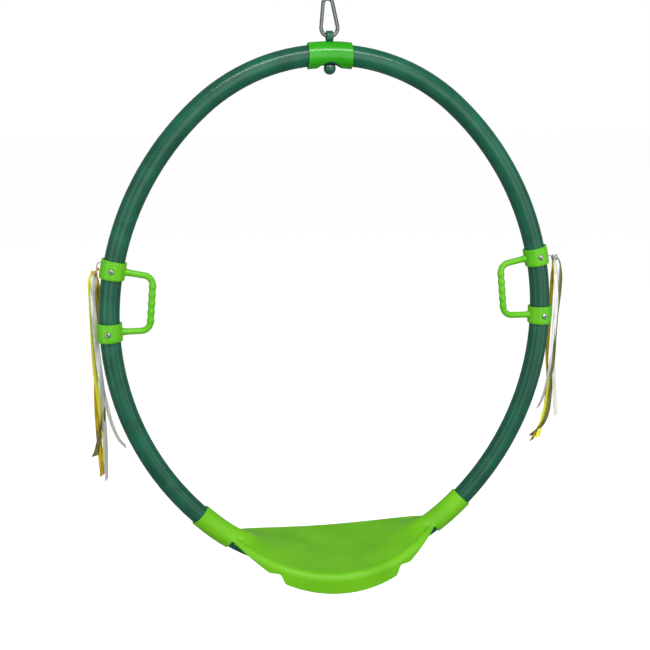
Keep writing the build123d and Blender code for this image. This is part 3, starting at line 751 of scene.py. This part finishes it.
# each ribbon's path: across, back, height above the hoop's centre, in millimetres, and the
# ribbon's turn in degrees from facing the front; from the knot down to the cut end
RIBBONS = {
    "left": {
        "gold": ((437, 23, 107, 48), (434, 24, 82, 28), (437, 26, 26, 48), (444, 26, -45, 56),
                 (449, 24, -130, 28), (449, 23, -210, 16), (446, 22, -293, 24)),
        "lime": ((442, 21, 107, 60), (449, 21, 91, 32), (449, 21, 60, 48), (450, 20, -5, 56),
                 (449, 20, -80, 48), (444, 20, -150, 40), (439, 21, -215, 48), (440, 22, -262, 16)),
        "silver": ((439, 19, 107, 44), (443, 18, 82, 28), (444, 17, 40, 16), (443, 17, -17, 20),
                   (440, 17, -75, 12), (437, 18, -119, 32), (437, 19, -164, 48),
                   (437, 20, -223, 40), (439, 20, -302, 60)),
        "olive": ((440, 22, 107, 64), (442, 23, 40, 52), (443, 23, -60, 48), (437, 21, -125, 44),
                  (438, 18, -170, 40), (445, 17, -205, 32), (455, 16, -240, 24), (460, 16, -251, 20)),
        "pearl": ((438, 21, 107, 48), (441, 22, 40, 56), (441, 22, -50, 52), (437, 21, -110, 48),
                  (430, 21, -155, 50), (421, 21, -195, 60), (411, 22, -221, 66), (397, 22, -237, 74)),
    },
    "right": {
        "gold": ((449, 23, 107, 38), (449, 25, 60, 22), (449, 26, 0, 28), (446, 26, -54, 19),
                 (445, 25, -95, 33), (447, 23, -140, 38), (446, 22, -190, 16), (437, 21, -234, 25),
                 (414, 20, -276, 33)),
        "lime": ((453, 21, 107, 41), (457, 23, 60, 33), (458, 23, 12, 41), (457, 22, -43, 38),
                 (454, 22, -112, 33), (450, 21, -160, 28), (443, 20, -205, 22), (436, 20, -239, 14),
                 (428, 20, -270, 16)),
        "silver": ((450, 18, 107, 28), (452, 17, 85, 16), (455, 16, 45, 11), (456, 16, 0, 8),
                   (453, 17, -65, 16), (450, 17, -112, 22), (444, 18, -150, 33), (436, 19, -183, 36),
                   (426, 19, -206, 38)),
        "olive": ((454, 21, 107, 44), (462, 20, 94, 33), (465, 20, 62, 25), (463, 20, 15, 33),
                  (460, 20, -25, 38), (459, 20, -75, 41), (456, 20, -121, 33), (453, 19, -168, 28),
                  (450, 19, -208, 22), (438, 19, -240, 25), (411, 19, -264, 33)),
        "pearl": ((452, 20, 107, 38), (457, 20, 60, 28), (459, 22, 0, 25), (458, 23, -57, 28),
                  (459, 23, -113, 25), (461, 19, -169, 22), (465, 19, -206, 19), (467, 19, -224, 16)),
    },
}


def smooth_path(points, count):
    """Points spaced along a Catmull-Rom curve through the given ones."""
    points = np.asarray(points, float)
    padded = np.concatenate([2 * points[:1] - points[1:2], points, 2 * points[-1:] - points[-2:-1]])
    place = np.linspace(0.0, len(points) - 1.0, 40 * len(points))
    first = np.minimum(place.astype(int), len(points) - 2)
    t = (place - first)[:, None]
    a, b, c, d = (padded[first + step] for step in range(4))
    curve = 0.5 * (
        2 * b + (c - a) * t + (2 * a - 5 * b + 4 * c - d) * t**2 + (3 * b - a - 3 * c + d) * t**3)
    run = np.concatenate([[0.0], np.cumsum(np.linalg.norm(np.diff(curve[:, :3], axis=0), axis=1))])
    even = np.linspace(0.0, run[-1], count)
    return np.stack([np.interp(even, run, column) for column in curve.T], axis=-1), run[-1]


def ribbon(name, side, points, phase, count=260, columns=11):
    """Flat strip along a smooth path, turned about it; gathered into pleats at the knot.

    Across is cos(turn) times the level direction plus sin(turn) times the front one. Near the
    knot the width shrinks to a third while pleats, a cosine of the place across, take it up.
    The cut end is slanted: each line along the strip stops a little before the next."""
    sizes = settings().sizes
    row, length = smooth_path(points, count)
    path = row[:, :3] * MM * np.array([side, 1.0, 1.0]) + np.array([0.0, 0.0, HOOP_Z])
    along = unit(np.gradient(path, axis=0))
    turn = np.radians(row[:, 3])
    level = unit(np.cross(along, [0.0, 1.0, 0.0]))
    front = np.cross(level, along)
    across = np.cos(turn)[:, None] * level + np.sin(turn)[:, None] * front
    normal = np.cross(across, along)
    down = np.linspace(0.0, 1.0, count) * length * MM
    spread = 0.34 + 0.66 * smooth_step(down, 0.004, 0.045)
    place = np.linspace(-1.0, 1.0, columns)[None, :]
    width = 0.5 * sizes.ribbon_width * spread
    ripple = 0.0004 * np.sin(down * 95.0 + phase)[:, None] * (place**2 - 0.3)
    grid = path[:, None] + (width[:, None] * place)[..., None] * across[:, None]
    depth = 0.0016 * (1.0 - spread)[:, None] * np.cos(2.6 * np.pi * place + phase) + ripple
    grid = grid + depth[..., None] * normal[:, None]
    slant = 0.006 * smooth_step(down, down[-1] - 0.02, down[-1])[:, None] * (0.5 + 0.5 * place)
    grid = grid - slant[..., None] * along[:, None]
    piece = grid_piece(name, grid)
    film = piece.modifiers.new("film", "SOLIDIFY")
    film.thickness, film.offset = 0.00012, 0.0
    return piece, length * MM


def ring_frame(side):
    """Split ring's centre, its outward direction and its axis."""
    out = np.array([side * np.cos(RING_TURN), -np.sin(RING_TURN), 0.0])
    axis = np.array([-side * np.sin(RING_TURN), -np.cos(RING_TURN), 0.0])
    return lug_hole(side) + settings().sizes.ring_radius * out, out, axis


def coil(name, centre, first, second, radius, pitch, turns, wire, squash=1.0, columns=14):
    """Wire wound about first x second: a helix of circles of the wire's radius, its ends closed.

    The path is radius times (first cos t + squash second sin t), moved along by pitch per turn."""
    axis = np.cross(first, second)
    t = np.linspace(0.0, 2.0 * np.pi * turns, int(48 * turns))[:, None]
    path = centre + radius * (np.cos(t) * first + squash * np.sin(t) * second)
    path = path + (t / (2.0 * np.pi) - 0.5 * turns) * pitch * axis
    along = unit(np.gradient(path, axis=0))
    level = unit(np.cross(axis, along))
    upright = np.cross(along, level)
    turn = np.linspace(0.0, 2.0 * np.pi, columns, endpoint=False)[None, :, None]
    grid = path[:, None] + wire * (np.cos(turn) * level[:, None] + np.sin(turn) * upright[:, None])
    return outward(grid_piece(name, capped(path, grid), wrap_columns=True))


class SWING_OT_tassels(bpy.types.Operator):
    """Make each side's split ring, its tie of wound cord and its five ribbons."""
    bl_idname = "swing.tassels"
    bl_label = "Tassels"

    def execute(self, context):
        sizes = settings().sizes
        up = np.array([0.0, 0.0, 1.0])
        for label, side in SIDES.items():
            centre, out, axis = ring_frame(side)
            ring = coil(f"split_ring_{label}", centre, out, np.cross(axis, out),
                        sizes.ring_radius, 0.0012, 2.0, 0.0006)
            ring.data.materials.append(bpy.data.materials["Nickel plated spring wire"])
            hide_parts(f"{label}_ring")
            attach(ring, f"{label}_ring")
            # cord looped round the ring's wire, then wound round the ribbons' necks
            outer = out * np.cos(TIE_ANGLE) - up * np.sin(TIE_ANGLE)
            along = out * np.sin(TIE_ANGLE) + up * np.cos(TIE_ANGLE)
            held = centre + sizes.ring_radius * outer
            sideways = np.array([0.0, 1.0, 0.0])
            neck = np.array([side * NECK_X[label], NECK_Y, HOOP_Z + NECK_RISE])
            level = unit(np.array([1.0, 0.0, 0.18]))
            loop = coil("loop", held, outer, np.cross(along, outer), 0.0021, 0.0011, 3.0, 0.0007)
            steep = np.array([0.8, 0.0, -0.6])
            wound = 0.0012 if side < 0 else 0.0019
            knot = [
                coil("knot", neck, level, sideways, 0.0044, 1.4 * wound, 3.0, wound, 0.8),
                coil("knot", neck, steep, sideways, 0.0050, 1.5 * wound, 2.0, wound, 0.8)]
            start, end = held + 0.002 * outer, neck + 0.002 * up
            link = [bar("link", np.linspace(start + shift * sideways, end, 12), 0.0009)
                    for shift in (-0.001, 0.001)]
            tie = join(f"tie_{label}", [loop, *knot, *(outward(piece) for piece in link)])
            tie.data.materials.append(bpy.data.materials[
                "Twisted cotton cord" if side < 0 else "Crumpled silver foil"])
            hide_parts(f"{label}_tie")
            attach(tie, f"{label}_tassel")
            for number, (colour, points) in enumerate(RIBBONS[label].items()):
                strip, length = ribbon(f"ribbon_{label}_{colour}", side, points, 1.3 * number)
                strip.data.materials.append(bpy.data.materials[FILMS[colour]])
                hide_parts(f"{label}_ribbon_{colour}")
                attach(strip, f"{label}_tassel")
        return {"FINISHED"}


# ------------------------------------------------------------------ finishes of the frame's nodes
FILMS = {
    "gold": "Gold metallised film", "silver": "Silver metallised film",
    "olive": "Olive metallised film", "lime": "Lime cellophane", "pearl": "Pearl cellophane"}


def film(name, code, metallic, roughness, alpha=1.0):
    """Ribbon film: creases run lengthwise about 2 mm apart, bumped, with the base colour painted
    darker and brighter along them in turn as painted shade and sheen.
    """
    material, tree, shader = new_material(name, Metallic=metallic, Alpha=alpha)
    place = add_node(tree, "ShaderNodeTexCoord").outputs["Object"]
    along = add_node(
        tree, "ShaderNodeMapping", {"Scale": (1.0, 1.0, 0.07)}, {"Vector": place})
    crease_and_shade = add_node(
        tree, "ShaderNodeTexNoise", {"Scale": 300.0, "Detail": 1.0},
        {"Vector": along.outputs["Vector"]})
    # painted shade and sheen: the base colour goes darker and brighter with the crease noise, standing
    # in for light on the creased film
    ramp = add_node(tree, "ShaderNodeValToRGB", links={"Fac": crease_and_shade.outputs["Fac"]})
    dark = [(0.5 if metallic > 0.5 else 0.75) * value for value in linear(code)[:3]]
    ramp.color_ramp.elements[0].position = 0.32
    ramp.color_ramp.elements[0].color = (*dark, 1.0)
    ramp.color_ramp.elements[1].position = 0.62
    ramp.color_ramp.elements[1].color = linear(code)
    tree.links.new(ramp.outputs["Color"], shader.inputs["Base Color"])
    shine = add_node(
        tree, "ShaderNodeMapRange", {"To Min": roughness - 0.08, "To Max": roughness + 0.12},
        {"Value": crease_and_shade.outputs["Fac"]})
    tree.links.new(shine.outputs["Result"], shader.inputs["Roughness"])
    bump = add_node(
        tree, "ShaderNodeBump", {"Strength": 0.35, "Distance": 0.0004},
        {"Height": crease_and_shade.outputs["Fac"]})
    tree.links.new(bump.outputs["Normal"], shader.inputs["Normal"])
    return material


def twisted_cord(name, code, shade, strand_mm, metallic=0.0, roughness=0.8):
    """Cord or foil drawn into a cord: strands cross it as fine bands, with painted shade darkening the
    base colour between them.
    """
    material, tree, shader = new_material(name, Metallic=metallic, Roughness=roughness)
    place = add_node(tree, "ShaderNodeTexCoord").outputs["Object"]
    strands_and_shade = add_node(
        tree, "ShaderNodeTexNoise", {"Scale": 1.0 / (strand_mm * MM), "Detail": 2.0},
        {"Vector": place})
    # painted shade: the base colour goes to the darker tint between the strands, standing in for
    # shadow in the grooves
    ramp = add_node(tree, "ShaderNodeValToRGB", links={"Fac": strands_and_shade.outputs["Fac"]})
    ramp.color_ramp.elements[0].position = 0.35
    ramp.color_ramp.elements[0].color = linear(shade)
    ramp.color_ramp.elements[1].position = 0.6
    ramp.color_ramp.elements[1].color = linear(code)
    tree.links.new(ramp.outputs["Color"], shader.inputs["Base Color"])
    bump = add_node(
        tree, "ShaderNodeBump", {"Strength": 0.5, "Distance": 0.0005},
        {"Height": strands_and_shade.outputs["Fac"]})
    tree.links.new(bump.outputs["Normal"], shader.inputs["Normal"])
    return material


class SWING_OT_finishes(bpy.types.Operator):
    """Give the frame's own nodes their real finishes."""
    bl_idname = "swing.finishes"
    bl_label = "Frame finishes"

    def execute(self, context):
        colours = settings().colours
        paint = powder_coated_steel()
        seat = moulded_plastic(
            "Rotomoulded polyethylene", colours.seat, "#61b00c", 0.38, 1.2, 0.3)
        lime = moulded_plastic(
            "Injection moulded polypropylene", colours.handle, "#4fae0c", 0.34, 2.0, 0.06, 0.1)
        cap = moulded_plastic("Moulded nylon", colours.sleeve, "#1c8a03", 0.3, 2.0, 0.05, 0.2)
        zinc = zinc_plated_steel()
        # painted shade: the hook gets a darker zinc than the nut and washer, standing in for the dark
        # surroundings it mirrors
        hook = zinc_plated_steel("Zinc plated forged hook", "#7f8a82", 0.26)
        zinc_plated_steel("Nickel plated spring wire", "#9a9152", 0.3)
        # painted highlight: the screws get a brighter zinc than the nut and washer, standing in for
        # the bright shine on their domes
        zinc_plated_steel("Zinc plated screw", "#dfe3df", 0.22)
        for colour, name in FILMS.items():
            metallic, alpha = {"lime": (0.0, 0.85), "pearl": (0.1, 0.65), "silver": (0.45, 1.0)}.get(
                colour, (0.7, 1.0))
            film(name, getattr(colours, colour), metallic, 0.32, alpha)
        # each cord's second colour is painted shade between its strands
        twisted_cord("Twisted cotton cord", "#dcb257", "#a8742e", 0.9)
        twisted_cord("Crumpled silver foil", "#d5d8d8", "#6f7373", 1.2, 0.8, 0.3)
        table = {
            "green_tube": paint, "green_bolt": paint, "dark_plastic": paint,
            "lime_plastic": lime, "seat_plastic": seat}
        slots = {p["node"]: p["material_slot"] for p in frame["record"]["subparts"]}
        for node, piece in frame["nodes"].items():
            piece.data.materials.clear()
            metal = hook if node.startswith("snap_hook") else zinc
            piece.data.materials.append(cap if node == "top_sleeve" else table.get(slots[node], metal))
        return {"FINISHED"}


# ------------------------------------------------------------------ panel and registration
class SWING_PT_panel(bpy.types.Panel):
    """Buttons for the pieces, in order, and the settings."""
    bl_idname = "SWING_PT_panel"
    bl_label = "Hoop swing"
    bl_space_type = "VIEW_3D"
    bl_region_type = "UI"
    bl_category = "Hoop swing"

    def draw(self, context):
        for operator in OPERATORS:
            self.layout.operator(operator.bl_idname)
        for group in (context.scene.hoop_swing.sizes, context.scene.hoop_swing.colours):
            for name in group.__annotations__:
                self.layout.prop(group, name)


OPERATORS = (
    SWING_OT_stage, SWING_OT_finishes, SWING_OT_seat, SWING_OT_handles, SWING_OT_screws,
    SWING_OT_tassels)
CLASSES = (SwingSizes, SwingColours, SwingSettings, *OPERATORS, SWING_PT_panel)


def register():
    for cls in CLASSES:
        bpy.utils.register_class(cls)
    bpy.types.Scene.hoop_swing = bpy.props.PointerProperty(
        type=SwingSettings, name="Hoop swing", description="Settings of the swing")


def unregister():
    del bpy.types.Scene.hoop_swing
    for cls in reversed(CLASSES):
        bpy.utils.unregister_class(cls)


def main():
    register()
    for operator in OPERATORS:
        group, name = operator.bl_idname.split(".")
        getattr(getattr(bpy.ops, group), name)()


if __name__ == "__main__":
    main()
